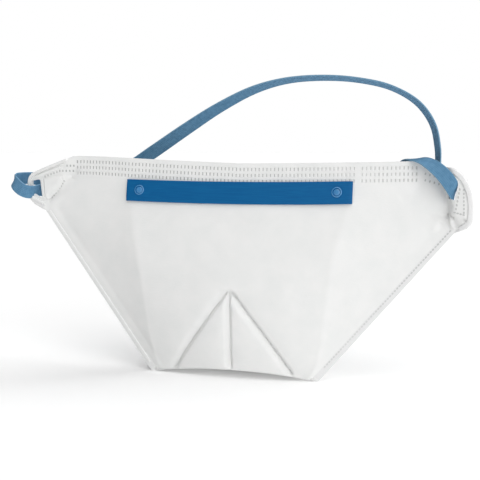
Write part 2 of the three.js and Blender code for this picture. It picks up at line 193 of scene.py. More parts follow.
def makeWeldFilm():
    # the same polypropylene fused to a film by the welding horn: smoother, a little glossy, and greyer,
    # partly its own tone and partly painted shade of the pressed dents;
    # the dashes are painted darker on the left and paler towards the right, a painted shade for light
    # from the right
    material, tree, shader = newMaterial("fusedPolypropyleneWithPaintedShade", {
        "Roughness": 0.5, "IOR": 1.49})
    place = addNode(tree, "ShaderNodeTexCoord").outputs["Object"]
    mottle = addNode(tree, "ShaderNodeTexNoise", values={"Scale": 900.0, "Detail": 2.0},
                     links={"Vector": place})
    tint = addNode(tree, "ShaderNodeValToRGB", links={"Fac": mottle.outputs[0]},
                   stops=((0, "#e6e6e6"), (1, "#ffffff")))
    parts = addNode(tree, "ShaderNodeSeparateXYZ", links={"Vector": place})
    reach = addNode(tree, "ShaderNodeMapRange", values={"From Min": -0.1, "From Max": 0.1},
                    links={"Value": parts.outputs["X"]})
    # painted shade across the mask: the film darker on the left, paler on the right
    paintedSideShade = addNode(tree, "ShaderNodeValToRGB", links={"Fac": reach.outputs["Result"]},
                   stops=((0.1, "#cccdcc"), (0.93, "#cecfce"), (0.15, "#b4b5b4"), (0.4, "#c2c3c2"),
                          (0.8, "#e2e3e2")))
    mixed = addNode(tree, "ShaderNodeMixRGB", {"blend_type": "MULTIPLY"}, values={"Fac": 1.0},
                    links={"Color1": paintedSideShade.outputs["Color"], "Color2": tint.outputs["Color"]})
    tree.links.new(mixed.outputs["Color"], shader.inputs["Base Color"])
    return material


def makeClipPlastic():
    # extruded polypropylene over two soft wires: satin blue, faint drawing lines lengthwise
    material, tree, shader = newMaterial("extrudedPolypropylene", {
        "Roughness": 0.5, "IOR": 1.49, "Specular IOR Level": 0.18})
    place = addNode(tree, "ShaderNodeTexCoord").outputs["Object"]
    drawn = addNode(tree, "ShaderNodeMapping", values={"Scale": (60, 2500, 2500)},
                    links={"Vector": place})
    lines = addNode(tree, "ShaderNodeTexNoise", values={"Scale": 1.0, "Detail": 3.0},
                    links={"Vector": drawn.outputs[0]})
    tint = addNode(tree, "ShaderNodeValToRGB", links={"Fac": lines.outputs[0]},
                   stops=((0.25, "#07568d"), (0.75, "#0d6298")))
    tree.links.new(tint.outputs["Color"], shader.inputs["Base Color"])
    bump = addNode(tree, "ShaderNodeBump", values={"Strength": 0.25, "Distance": 0.00005},
                   links={"Height": lines.outputs[0]})
    tree.links.new(bump.outputs["Normal"], shader.inputs["Normal"])
    return material


def makeStakePlastic():
    # the same plastic upset by a hot punch: paler where it is stressed, with a polished crown; on the
    # stud's outer rim the paler colour is a painted highlight
    material, tree, shader = newMaterial("stakedPolypropylene", {
        "Roughness": 0.28, "IOR": 1.49})
    place = addNode(tree, "ShaderNodeTexCoord").outputs["Object"]
    flow = addNode(tree, "ShaderNodeTexNoise", values={"Scale": 1200.0, "Detail": 2.0},
                   links={"Vector": place})
    tint = addNode(tree, "ShaderNodeValToRGB", links={"Fac": flow.outputs[0]},
                   stops=((0, "#2f74ae"), (1, "#5c98c6")))
    tree.links.new(tint.outputs["Color"], shader.inputs["Base Color"])
    return material


def makeBraid():
    # braided polyester over rubber threads: matt grey-blue, a herringbone of fine yarns between the
    # lengthwise ribs
    yarn = {"pitch": 0.75, "across": 0.75}  # mm, along and across the band
    material, tree, shader = newMaterial("braidedElastic", {
        "Roughness": 0.75, "IOR": 1.5, "Specular IOR Level": 0.3, "Sheen Weight": 0.04,
        "Sheen Roughness": 0.45})
    flat = addNode(tree, "ShaderNodeUVMap", {"uv_map": "band"}).outputs["UV"]
    parts = addNode(tree, "ShaderNodeSeparateXYZ", links={"Vector": flat})
    # slant the rows of stitches one way and the other on neighbouring ribs
    rib = addNode(tree, "ShaderNodeMath", {"operation": "MULTIPLY"},
                  values={1: pi / yarn["across"]}, links={0: parts.outputs["X"]})
    wave = addNode(tree, "ShaderNodeMath", {"operation": "SINE"}, links={0: rib.outputs[0]})
    slant = addNode(tree, "ShaderNodeMath", {"operation": "ABSOLUTE"}, links={0: wave.outputs[0]})
    along = addNode(tree, "ShaderNodeMath", {"operation": "MULTIPLY"},
                    values={1: 2 * pi / yarn["pitch"]}, links={0: parts.outputs["Y"]})
    phase = addNode(tree, "ShaderNodeMath", {"operation": "MULTIPLY_ADD"},
                    values={1: 2.6}, links={0: slant.outputs[0], 2: along.outputs[0]})
    stitch = addNode(tree, "ShaderNodeMath", {"operation": "SINE"}, links={0: phase.outputs[0]})
    height = addNode(tree, "ShaderNodeMath", {"operation": "MULTIPLY_ADD"},
                     values={1: 0.35}, links={0: stitch.outputs[0], 2: slant.outputs[0]})
    place = addNode(tree, "ShaderNodeTexCoord").outputs["Object"]
    mottle = addNode(tree, "ShaderNodeTexNoise", values={"Scale": 700.0, "Detail": 3.0},
                     links={"Vector": place})
    shade = addNode(tree, "ShaderNodeMath", {"operation": "MULTIPLY_ADD"},
                    values={1: 0.3}, links={0: height.outputs[0], 2: mottle.outputs[0]})
    tint = addNode(tree, "ShaderNodeValToRGB", links={"Fac": shade.outputs[0]},
                   stops=((0.35, "#4b799b"), (1, "#6592b3")))
    # a paler colour at both edges: partly the yarns turning round there and lying closer, partly a
    # painted highlight along the band's edges
    half = band["width"] / 2
    aside = addNode(tree, "ShaderNodeMath", {"operation": "SUBTRACT"}, values={1: half},
                    links={0: parts.outputs["X"]})
    reach = addNode(tree, "ShaderNodeMath", {"operation": "ABSOLUTE"}, links={0: aside.outputs[0]})
    edge = addNode(tree, "ShaderNodeMapRange", values={"From Min": half - 0.32, "From Max": half - 0.1},
                   links={"Value": reach.outputs[0]})
    # painted highlight: the paler edge colour
    mixed = addNode(tree, "ShaderNodeMixRGB", values={"Color2": srgb("#7198b3")},
                    links={"Fac": edge.outputs["Result"], "Color1": tint.outputs["Color"]})
    tree.links.new(mixed.outputs["Color"], shader.inputs["Base Color"])
    bump = addNode(tree, "ShaderNodeBump", values={"Strength": 0.35, "Distance": 0.00008},
                   links={"Height": height.outputs[0]})
    tree.links.new(bump.outputs["Normal"], shader.inputs["Normal"])
    return material


panel = {
    "seamShare": 0.74,    # share of the height at which the seams end at the ear tabs
    "apexShare": 0.394,   # share at which the pressed creases meet
    "foldFlare": 2.1, "hemFlare": 1.5,  # bow of a row from the middle to the seam
    "fullness": 2.6,      # how squarely the back panel bellies out
    "soleShare": 0.06,    # share of the back's height that turns from the folded edge
    "leftRise": 0.85,     # mm, how much higher the left half of the hem stands
    "wall": 1.3,          # mm, laminate
    "leastWall": 0.5,     # mm, where the plies are pressed together
    "foldedWall": 0.6,    # mm, where a tab is creased
    "seamPly": 0.62,      # mm, one of the two plies where they are welded
    "tabPly": 0.74,       # mm, the same in the ear tabs
}
# pressed valleys, in millimetres: the pleats' distance from the middle at the fold and where they
# meet, the depth, the soft hollow round them and its reach, and the widths of a valley's two walls
crease = {
    "foot": 26.6, "head": 0.4, "depth": 1.9, "hollow": 0.5, "reach": 3.4, "gentle": 2.7, "steep": 1.0,
    "slope": 0.77,        # a pleat's slant: distance square to it for each millimetre across
    "fade": 0.02,         # share of the height over which the valleys end
}
flange = {"width": 2.6, "turn": radians(2), "columns": 24}
# side line of each half: corner of the fold, top of the seam, end of the hem
sides = {
    -1: [Vector((-34, 0, 0)), Vector((-90.2, 10.2, 69.6)), Vector((-77.8, 9.4, 92.6))],
    1: [Vector((33, 0, 0)), Vector((87.4, 10, 63.6)), Vector((77, 9.4, 90.9))],
}
# sections of the two panels: the middle, and the soft edge between the front's middle and sides
frontRows = {
    "rise": [0, 0.05, 0.15, 0.376, 0.6, 0.82, 1],
    "middleY": [-5.6, -6.1, -7.0, -7.8, -5.4, 0.3, 3.7],
    "middleZ": [3.4, 7.8, 16.5, 36, 55.3, 74.3, 89.8],
    "edgeX": [32.6, 34.6, 37.4, 40, 43.4, 48, 52],
    "edgeY": [-0.8, -1.0, -1.9, -3.8, -3.0, 2.5, 5.7],
}
backRows = {
    "rise": [0, 0.03, 0.08, 0.13, 0.19, 0.27, 0.4, 0.6, 0.8, 1],
    "middleY": [-5.6, 2, 9, 15, 18.5, 20.8, 22.6, 24, 24.4, 24],
    "middleZ": [3.6, 2.2, -0.4, -1.2, 4, 13, 27, 47, 64, 80],
}
front = {key: tableCurve(frontRows["rise"], values) for key, values in frontRows.items()}
back = {key: tableCurve(backRows["rise"], values) for key, values in backRows.items()}

# ear tabs, in X and Z: the end of the tab from the seam up, the hem from the panel out, the slot,
# and how the tab bends in plan
tabs = {
    -1: {
        "end": [(-97.6, 70.5), (-99.4, 71.9), (-101, 73.9), (-101.2, 82.1), (-99.5, 84.9)],
        "hem": [(-77.8, 92.6), (-99.5, 84.9)],
        "slot": [(-99.4, 81.4), (-95, 82.3), (-94, 73.7), (-95.6, 73.9), (-98.3, 75.5), (-99.4, 76.6)],
        "bendX": [-103, -92, -72], "bendY": [11, 10.4, 9],
    },
    1: {
        "end": [(91.9, 63.1), (94.8, 64.4), (96.2, 65.8), (96.8, 67.6), (96.8, 74), (96.3, 78),
                (94.9, 81.6), (92.7, 85)],
        "hem": [(77, 90.9), (87.2, 88.3), (90.2, 87.2), (92.7, 85)],
        "slot": [(87.2, 84.8), (89.9, 84.9), (91, 83.2), (91, 81.4), (90.5, 79), (90, 75.2),
                 (87.3, 76), (86.9, 78.6)],
        "bendX": [71, 84, 86.9, 88.1, 89.6, 92, 94.5, 98.5],
        "bendY": [9, 10, 9.9, 7.2, 6.3, 6, 6, 6.8],
    },
}
for tab in tabs.values():
    tab["bend"] = tableCurve(tab["bendX"], tab["bendY"])


def sidePoint(sign, rise):
    fold, top, hem = sides[sign]
    if rise <= panel["seamShare"]:
        return fold.lerp(top, rise / panel["seamShare"])
    return top.lerp(hem, (rise - panel["seamShare"]) / (1 - panel["seamShare"]))


def creaseDip(x, rise):
    # pressed valleys: one down the middle and one along each pleat, up to where they meet; their
    # left walls are long and gentle, their right ones steep
    if rise > panel["apexShare"] + 0.01:
        return 0.0
    fade = smoothStep(panel["apexShare"] + 0.005 - rise, 0, crease["fade"])
    fade *= smoothStep(rise, -0.01, 0.035)  # the fold below stays straight
    pleat = lerp(crease["foot"], crease["head"], rise / panel["apexShare"])
    valley, near = 0.0, abs(x)
    for place, slope in ((-pleat, crease["slope"]), (0, 1), (pleat, crease["slope"])):
        aside = (x - place) * slope
        near = min(near, abs(aside))
        wall = clamp(1 - abs(aside) / crease["gentle" if aside < 0 else "steep"])
        valley = max(valley, crease["depth"] * (wall * 0.75 + wall * wall * 0.25))
    return fade * (valley + crease["hollow"] * exp(-(near / crease["reach"]) ** 2))


def frontPoint(x, rise):
    sign = -1 if x < 0 else 1
    side = sidePoint(sign, rise)
    reach, span = abs(x), abs(side.x)
    edgeX, edgeY, middleY = front["edgeX"](rise), front["edgeY"](rise), front["middleY"](rise)
    inner = middleY + (edgeY - middleY) * (reach / edgeX) ** 2
    outer = edgeY + (side.y - edgeY) * (reach - edgeX) / (span - edgeX)
    soft = lerp(1.2, 4, rise)  # mm over which the soft edge turns
    y = lerp(inner, outer, smoothStep(reach, edgeX - soft, edgeX + soft))
    flare = lerp(panel["foldFlare"], panel["hemFlare"], rise)
    share = reach / span
    z = lerp(front["middleZ"](rise), side.z, share ** flare)
    if sign < 0:
        z += panel["leftRise"] * share ** 0.5 * (1 - share ** 8) * smoothStep(rise, 0.7, 1)
    return Vector((x, y + creaseDip(x, rise), z))


def backPoint(x, rise):
    sign = -1 if x < 0 else 1
    side = sidePoint(sign, rise)
    share = abs(x / side.x)
    fold = frontPoint(sides[sign][0].x * share, 0)
    blend = smoothStep(rise, 0, panel["soleShare"])
    full = 1 - share ** panel["fullness"]
    y = side.y + (back["middleY"](rise) - side.y) * lerp(fold.y / frontRows["middleY"][0], full, blend)
    z = side.z + (back["middleZ"](rise) - side.z) * lerp(fold.z / frontRows["middleZ"][0], full, blend)
    return Vector((x, y, max(0.0, z)))


# weld dashes in three rows under each hem, in millimetres
weld = {
    "pitch": 1.65, "dash": 0.7, "count": 46,  # dashes each side of the middle
    "missing": [31],  # counted to the right
    "rows": [(1.85, 3.35), (4.35, 5.8), (6.85, 8.3)],  # below the hem
    "inset": 0.1, "depth": 0.3, "seam": 0.8,  # seam: width of its own column
    "height": 87,  # of the panel on which the shares are counted
}
# rows of the sheet: close at the folded edge and the tabs, and on both edges of each row of dashes
sheet = {
    "atFold": [0, 0.004, 0.009, 0.016], "front": 0.0078, "back": 0.03,  # shares of the height
    "atTabs": 0.0074, "tabRows": 20,
    "belowHem": [0, 0.4, 1.1, *(edge for row in weld["rows"] for edge in row), 9.4],  # mm
    "hemStart": 10.1,  # mm, no other row lies closer to the hem
    "upright": 76.2,  # mm from the middle, up to which the columns run straight under the hem
}


def riseList(gap):
    seamShare, height = panel["seamShare"], weld["height"]
    steps = list(sheet["atFold"])
    while steps[-1] < seamShare - 0.01:
        steps.append(steps[-1] + gap)
    steps = [step for step in steps if step < seamShare - 0.004]
    steps += [seamShare + i * sheet["atTabs"] for i in range(sheet["tabRows"])]
    steps = [step for step in steps if step < 1 - sheet["hemStart"] / height]
    return steps + [1 - step / height for step in reversed(sheet["belowHem"])]


frontRise, backRise = riseList(sheet["front"]), riseList(sheet["back"])


def layoutX(hemX, rise):
    # columns run straight up under the hem, and share out the width below that
    sign = -1 if hemX < 0 else 1
    span, hemSpan, straight = abs(sidePoint(sign, rise).x), abs(sides[sign][2].x), sheet["upright"]
    inSpan, inHem = span - weld["seam"], hemSpan - weld["seam"]
    shared = min(abs(hemX), inHem) * inSpan / inHem + max(0, abs(hemX) - inHem)
    if abs(hemX) <= straight:
        upright = abs(hemX)
    else:
        upright = straight + (abs(hemX) - straight) * (span - straight) / (hemSpan - straight)
    return sign * lerp(shared, upright, smoothStep(rise, panel["seamShare"], 0.87))


def seamFrame(sign):
    # along the seam, out along the flange, and square to the flange towards the back
    fold, top, _ = sides[sign]
    along = (top - fold).normalized()
    out = Vector((sign * along.z, 0, -abs(along.x))).normalized()
    reach = out * cos(flange["turn"]) + Vector((0, sin(flange["turn"]), 0))
    square = along.cross(reach).normalized()
    return along, reach, square if square.y > 0 else -square


def plyOffset(sign, rise):
    # half the gap between the panels' outsides at the seam, and which way it is measured
    square = seamFrame(sign)[2]
    upper = smoothStep(rise, panel["seamShare"] - 0.02, panel["seamShare"] + 0.06)
    away = square.lerp(Vector((0, 1, 0)), upper).normalized()
    return away * lerp(panel["seamPly"], panel["tabPly"], upper) * 1.06


def tabPoint(sign, rise, out):
    # beyond the side line: the flange below, the ear tab above
    side = sidePoint(sign, rise)
    reach = seamFrame(sign)[1]
    flat = side + reach * flange["width"] * out
    if rise <= panel["seamShare"]:
        return flat
    tab = tabs[sign]
    top = sides[sign][1]
    tip = top + reach * flange["width"]
    up = (rise - panel["seamShare"]) / (1 - panel["seamShare"])
    end = [Vector((tip.x, tip.z))] + [Vector(p) for p in tab["end"]]
    hem = [Vector(p) for p in tab["hem"]]
    inner = Vector((side.x, side.z))
    low = Vector((top.x, top.z)).lerp(end[0], out)
    place = inner.lerp(alongLine(end, up), out) + low.lerp(alongLine(hem, out), up)
    place -= Vector((top.x, top.z)).lerp(end[0], out).lerp(hem[0].lerp(hem[-1], out), up)
    bent = lerp(side.y, tab["bend"](place.x), smoothStep(out, 0, 0.3))
    y = lerp(top.y + reach.y * flange["width"] * out, bent, smoothStep(up, 0, 0.3))
    return Vector((place.x, y, place.y))


columns = []  # (hem X or None, sign, share beyond the side line)
outSteps = [(i + 1) / flange["columns"] for i in range(flange["columns"])]
columns += [(None, -1, share) for share in reversed(outSteps)]
columns.append((sides[-1][2].x, -1, 0))
columns.append((sides[-1][2].x + weld["seam"], 0, 0))
for k in range(-weld["count"], weld["count"]):
    columns.append((k * weld["pitch"] - weld["dash"] / 2, 0, 0))
    columns.append((k * weld["pitch"] + weld["dash"] / 2, 0, 0))
columns.append((sides[1][2].x - weld["seam"], 0, 0))
columns.append((sides[1][2].x, 1, 0))
columns += [(None, 1, share) for share in outSteps]
sheetRows = [("front", rise) for rise in reversed(frontRise)]
sheetRows += [("back", rise) for rise in backRise[1:]]
hemHeights = {}  # filled as they are needed


def belowHem(which, rise, hemX, sign):
    # the rows under the hem keep their distance from it, however tall the panel is there
    if (which, hemX, sign) not in hemHeights:
        if hemX is None:
            low, high = sidePoint(sign, 0.88), sidePoint(sign, 1)
        else:
            at = frontPoint if which == "front" else backPoint
            low, high = at(layoutX(hemX, 0.88), 0.88), at(layoutX(hemX, 1), 1)
        hemHeights[which, hemX, sign] = (high.z - low.z) / 0.12
    squeeze = weld["height"] / hemHeights[which, hemX, sign]
    return 1 - (1 - rise) * lerp(1, squeeze, smoothStep(rise, 0.77, 0.885))


def sheetPoint(which, rise, column):
    hemX, sign, out = column
    facing = -1 if which == "front" else 1
    rise = belowHem(which, rise, hemX, sign)
    apart = smoothStep(rise, 0, 0.02) * facing
    if hemX is None:
        point = tabPoint(sign, rise, out) + plyOffset(sign, rise) * apart
        return Vector((point.x, point.y, max(0.02, point.z)))
    sign = -1 if hemX < 0 else 1
    x = layoutX(hemX, rise)
    span = abs(sidePoint(sign, rise).x)
    point = (frontPoint if which == "front" else backPoint)(x, rise)
    near = 1 - smoothStep(span - abs(x), 0, 5)
    return point + plyOffset(sign, rise) * apart * near


def softRelief(point, which, rise):
    # gentle unevenness of a limp laminate, in millimetres outwards
    far = Vector((0, 500, 0)) if which == "back" else Vector()
    broad = noise.noise((point + far) / 24) * 0.5
    middle = noise.noise((point + far * 2) / 10) * 0.14
    hem = smoothStep(rise, 0.8, 0.95)
    return broad * smoothStep(rise, 0.05, 0.3) * (1 - 0.5 * hem) + middle


# where the ear tabs are creased: from and to in X and Z, how far towards the back, and how wide
tabFolds = [
    ((-77.2, 85.5), (-90.3, 73.6), 1.5, 1.3), ((-80, 91), (-95, 84.6), -0.25, 1.5),
    ((88.6, 68.8), (94.4, 67.2), 0.9, 0.6), ((88.4, 69.4), (90.7, 65.9), 1.0, 0.7),
    ((86.8, 68), (89.6, 64), -0.7, 0.8), ((88.9, 66.4), (90.6, 63.6), 0.6, 0.6),
    ((88.2, 73.6), (87, 69), 1.3, 0.75), ((86.4, 72), (84.4, 64), 0.5, 1.1),
    ((83.6, 70), (81.5, 63), -0.35, 1.3), ((79, 84), (70, 76), 0.3, 2.2),
]


def besideLine(point, start, end):
    flat, a = Vector((point.x, point.z)), Vector(start)
    edge = Vector(end) - a
    share = clamp((flat - a).dot(edge) / edge.length_squared)
    return (flat - a - edge * share).length


def foldShift(point, rise):
    shift = 0.0
    if rise <= 0.68 or abs(point.x) <= 68:  # only the tabs and what is beside them
        return shift
    for start, end, depth, width in tabFolds:
        if abs(point.x - start[0]) < 22:
            shift += depth * exp(-(besideLine(point, start, end) / width) ** 2)
    return shift


def inside(point, outline):
    found = False
    for (ax, az), (bx, bz) in zip(outline, outline[1:] + outline[:1]):
        if (az > point.z) != (bz > point.z):
            if point.x < ax + (point.z - az) * (bx - ax) / (bz - az):
                found = not found
    return found


def onOutline(point, outline):
    best = None
    for (ax, az), (bx, bz) in zip(outline, outline[1:] + outline[:1]):
        a, edge = Vector((ax, az)), Vector((bx - ax, bz - az))
        flat = Vector((point.x, point.z))
        found = a + edge * clamp((flat - a).dot(edge) / edge.length_squared)
        if best is None or (found - flat).length < best[0]:
            best = ((found - flat).length, found)
    return Vector((best[1].x, point.y, best[1].y))


def makeShell():
    grid = []
    for which, rise in sheetRows:
        grid.append([sheetPoint(which, rise, column) for column in columns])
    # the folded edge is rolled, not sharp
    foldRow = len(frontRise) - 1
    for _ in range(2):
        for r in range(foldRow - 2, foldRow + 3):
            grid[r] = [(a + b * 2 + c) / 4 for a, b, c in zip(grid[r - 1], grid[r], grid[r + 1])]
    # relief and ply thickness
    thin = []
    plain = [[p.copy() for p in row] for row in grid]
    for r, (which, rise) in enumerate(sheetRows):
        facing = -1 if which == "front" else 1
        other = "back" if which == "front" else "front"
        for c, column in enumerate(columns):
            point = plain[r][c]
            if column[0] is not None:
                span = abs(sidePoint(-1 if column[0] < 0 else 1, rise).x)
                free = smoothStep(span - abs(point.x), 1, 8) * smoothStep(rise, 0, 0.06)
                grid[r][c].y += facing * softRelief(point, which, rise) * free
            shift = foldShift(point, rise)
            grid[r][c].y += shift
            gap = (sheetPoint(other, rise, column) - point).length
            close = smoothStep(abs(r - foldRow), 0, 6)
            wall = clamp(lerp(panel["wall"], gap / 2 - 0.04, close), panel["leastWall"], panel["wall"])
            thin.append(min(wall, panel["foldedWall"]) if abs(shift) > 0.02 else wall)
    width = len(columns)
    faces, spots = [], []
    for r in range(len(grid) - 1):
        for c in range(width - 1):
            centre = (plain[r][c] + plain[r + 1][c + 1]) / 2
            if any(inside(centre, tab["slot"]) for tab in tabs.values()):
                continue
            here, below = r * width + c, (r + 1) * width + c
            faces.append((here, below, below + 1, here + 1))
            spots.append((r, c))
    points = [p for row in grid for p in row]
    # the slots' edges are drawn onto their outlines
    used = {}
    for face in faces:
        for a, b in zip(face, face[1:] + face[:1]):
            key = (min(a, b), max(a, b))
            used[key] = used.get(key, 0) + 1
    for (a, b), count in used.items():
        if count == 1:
            for i in (a, b):
                for tab in tabs.values():
                    moved = onOutline(points[i], tab["slot"])
                    if (moved - points[i]).length < 1.2:  # mm, so only the slot's own edge moves
                        points[i] = moved
    obj = addMesh("pouch", points, faces)
    group = obj.vertex_groups.new(name="ply")
    for i, value in enumerate(thin):
        group.add([i], value / panel["wall"], "REPLACE")
    return obj, spots


def markWelds(spots):
    # which cells of the sheet are weld dashes: in rows under both hems and along the back's seams
    dashRows = [1 - (low + high) / 2 / weld["height"] for low, high in weld["rows"]]
    dashes, first = [], flange["columns"] + 2
    for i, (r, c) in enumerate(spots):
        which, rise = sheetRows[r][0], (sheetRows[r][1] + sheetRows[r + 1][1]) / 2
        step = c - first
        inHem = any(abs(rise - place) < 0.003 for place in dashRows)
        if inHem and 0 <= step < 4 * weld["count"] and step % 2 == 0:
            if step // 2 - weld["count"] not in weld["missing"]:
                dashes.append(i)
        onSeam = c in (flange["columns"], len(columns) - 2 - flange["columns"])
        if onSeam and which == "back" and 0.02 < rise < panel["seamShare"] - 0.02:
            dashes.append(i)
    return dashes


def pressCells(cells, inset, depth):
    for part in (pouch.data.vertices, pouch.data.edges, pouch.data.polygons):
        for item in part:
            item.select = False
    for i in cells:
        pouch.data.polygons[i].select = True
    bpy.ops.object.mode_set(mode="EDIT")
    bpy.ops.mesh.inset(thickness=inset * mm, depth=-depth * mm, use_individual=True)
    # the dents get the fused film, whose greyer colour is partly painted shade of the dents
    pouch.active_material_index = laminate.index(weldFilm)
    bpy.ops.object.material_slot_assign()
    bpy.context.tool_settings.vertex_group_weight = 0.6  # share of the wall that is left
    bpy.ops.object.vertex_group_assign()
    bpy.ops.mesh.select_all(action="DESELECT")
    bpy.ops.object.mode_set(mode="OBJECT")


print("pouch: sheet")
spunbond, weldFilm, selvage = makeSpunbond(), makeWeldFilm(), makeSelvage()
laminate = [spunbond, weldFilm, selvage]
pouch, spots = makeShell()
for material in laminate:
    pouch.data.materials.append(material)
for face, (r, c) in zip(pouch.data.polygons, spots):
    beyond = c < flange["columns"] or c > len(columns) - 2 - flange["columns"]
    if beyond and 0.03 < sheetRows[r][1] < panel["seamShare"]:
        face.material_index = laminate.index(selvage)
choose(pouch)
bpy.ops.object.mode_set(mode="EDIT")
bpy.ops.mesh.select_mode(type="FACE")
bpy.ops.object.mode_set(mode="OBJECT")
pouch.vertex_groups.active_index = 0
dashes = markWelds(spots)
pressCells(dashes, weld["inset"], weld["depth"])
print("pouch: wall,", len(dashes), "weld dashes")
applyModifier(pouch, "SOLIDIFY", thickness=panel["wall"] * mm, offset=-1, vertex_group="ply",
              thickness_vertex_group=0.0, use_quality_normals=True)


# turned-over edges, patch and small welds of the ear tabs, the bead on the left seam and the
# dashes on the right one, all laid on the front ply
tabPlies = {
    "thickness": 0.65, "sink": 0.08,
    "edges": [  # route, width, height, and whether it is of the duller crushed laminate, which on the left tab's lower strip is a painted shade
        ([(-80.5, 90.9), (-89, 87.9), (-98.6, 84.4), (-100.4, 82.2), (-100.5, 78)], 1.3, 0.95, False),
        ([(-84, 87.7), (-89, 85.9), (-97, 83.0)], 1.0, 0.95, False),
        ([(-99.9, 74.7), (-98.6, 73.8), (-93.1, 71.2)], 1.2, 0.95, False),
        ([(-93.5, 82.4), (-93.1, 73.8)], 0.9, 0.5, False),
        # the lower ply along the tab's lower edge: its duller crushed laminate stands in as painted
        # shade under the upper ply
        ([(-99.6, 73.2), (-97.6, 71.6), (-92.9, 69.6)], 1.3, 0.35, True),
        ([(-38.3, 3.6), (-90.3, 68)], 1.1, 0.35, False),
        ([(84, 88.3), (87, 87.6), (89.8, 86.7), (92.1, 84.7), (94.1, 81.5), (95.3, 78), (95.9, 74),
          (95.9, 68), (95.3, 66.6), (94.2, 65.5), (91.6, 64.1)], 1.5, 0.7, True),
    ],
    "patch": [(-92.7, 82.3), (-85.5, 84.1), (-81.9, 82.2), (-90.7, 73.2), (-92.4, 73.1)],
}
tabWelds = {
    "size": (0.7, 1.1), "proud": 0.05, "sink": 0.03, "corners": 8,
    "lines": [  # route, pitch, turn in degrees
        ([(-92.4, 83.4), (-84.6, 86), (-78.2, 86)], 1.6, 0), ([(-82.8, 81.4), (-89.7, 73.9)], 1.45, 45),
        ([(93.3, 79.6), (93.5, 70.6)], 1.5, 0), ([(91.7, 79.8), (90.4, 72)], 1.7, 10),
        ([(89.9, 70.6), (93.4, 69.7)], 1.3, 80),
        ([(39, 6.2), (87.9, 62.8)], 1.4, -41),
        ([(-80.9, 88.3), (-77.6, 88.3)], 1.65, 0),
        ([(77.7, 88.4), (81, 87.5)], 1.65, -15), ([(77.8, 85.8), (83.2, 84.3)], 1.65, -15),
        ([(77.8, 83.2), (83.2, 81.7)], 1.65, -15),
    ],
}


def smoothLine(points, step):
    # even steps along a line rounded at its corners
    path = [Vector(p) for p in points]
    for _ in range(2):
        cut = [path[0]]
        for a, b in zip(path, path[1:]):
            cut += [a.lerp(b, 0.25), a.lerp(b, 0.75)]
        path = cut + [path[-1]]
    count = max(2, round(sum((b - a).length for a, b in zip(path, path[1:])) / step))
    return [alongLine(path, i / count) for i in range(count + 1)]


def onPouch(tree, x, z, outwards):
    start = (Vector((x, -60, z)) + tableOrigin) * mm
    place = tree.ray_cast(start, Vector((0, 1, 0)))[0]
    if place is None:  # off the sheet's edge, at the tabs' usual depth
        return Vector((x, 9, z))
    return place / mm - tableOrigin - Vector((0, outwards, 0))


def laidStrip(tree, line, width, height, crushedOrShaded):
    path = smoothLine(line, 0.7)
    across, points, faces = 5, [], []
    for i, place in enumerate(path):
        along = (path[min(i + 1, len(path) - 1)] - path[max(i - 1, 0)]).normalized()
        side = Vector((along.y, -along.x))
        for j in range(across):
            flat = place + side * width * (j / (across - 1) - 0.5)
            points.append(onPouch(tree, flat.x, flat.y, -tabPlies["sink"]))
    for i in range(len(path) - 1):
        for j in range(across - 1):
            a = i * across + j
            faces.append((a, a + 1, a + across + 1, a + across))
    return finishPly(addMesh("turnedEdge", points, faces), height, selvage if crushedOrShaded else spunbond)


def laidPatch(tree, outline):
    # rings drawn in towards the middle, so that it follows the tab under it
    path = smoothLine(outline + outline[:1], 0.7)[:-1]
    middle = sum(path, Vector((0, 0))) / len(path)
    shares, points, faces = (1, 0.85, 0.65, 0.45, 0.22), [], []
    for share in shares:
        for place in path:
            flat = middle.lerp(place, share)
            points.append(onPouch(tree, flat.x, flat.y, -tabPlies["sink"]))
    points.append(onPouch(tree, middle.x, middle.y, -tabPlies["sink"]))
    count = len(path)
    for k in range(len(shares) - 1):
        for i in range(count):
            j = (i + 1) % count
            faces.append((k * count + i, k * count + j, (k + 1) * count + j, (k + 1) * count + i))
    last = (len(shares) - 1) * count
    faces += [(last + i, last + (i + 1) % count, len(points) - 1) for i in range(count)]
    return finishPly(addMesh("earPatch", points, faces), tabPlies["thickness"], spunbond)


def laidWelds(tree):
    points, faces = [], []
    wide, long = tabWelds["size"]
    corners = tabWelds["corners"]
    for line, pitch, turn in tabWelds["lines"]:
        path = [Vector(p) for p in line]
        total = sum((b - a).length for a, b in zip(path, path[1:]))
        count = round(total / pitch)
        for i in range(count + 1):
            place = alongLine(path, i / count)
            first = len(points)
            for k in range(corners):
                angle = 2 * pi * k / corners + pi / corners
                x, z = cos(angle) * wide / 2, sin(angle) * long / 2
                bend = radians(turn)
                flat = place + Vector((x * cos(bend) - z * sin(bend), x * sin(bend) + z * cos(bend)))
                points.append(onPouch(tree, flat.x, flat.y, -tabWelds["sink"]))
            faces.append(tuple(range(first, first + corners)))
    return finishPly(addMesh("tabWelds", points, faces), tabWelds["proud"] + tabWelds["sink"], weldFilm)


def finishPly(ply, thickness, material):
    # its faces are turned to the front, then it gets its thickness that way
    shape = bmesh.new()
    shape.from_mesh(ply.data)
    shape.normal_update()
    turned = [face for face in shape.faces if face.normal.y > 0]
    bmesh.ops.reverse_faces(shape, faces=turned)
    shape.to_mesh(ply.data)
    shape.free()
    ply.data.materials.append(material)
    applyModifier(ply, "SOLIDIFY", thickness=thickness * mm, offset=1)
    return ply


print("pouch: ear tabs")
tree = BVHTree.FromObject(pouch, bpy.context.evaluated_depsgraph_get())
plies = [laidStrip(tree, *edge) for edge in tabPlies["edges"]]
plies.append(laidPatch(tree, tabPlies["patch"]))
for ply in plies:
    applyModifier(ply, "BEVEL", width=0.1 * mm, segments=2, limit_method="ANGLE",
                  angle_limit=radians(50))
plies.append(laidWelds(tree))
choose(*plies, pouch)
bpy.ops.object.join()
choose(pouch)
bpy.ops.object.shade_smooth_by_angle(angle=radians(48))
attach(pouch, "root")
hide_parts("shell")


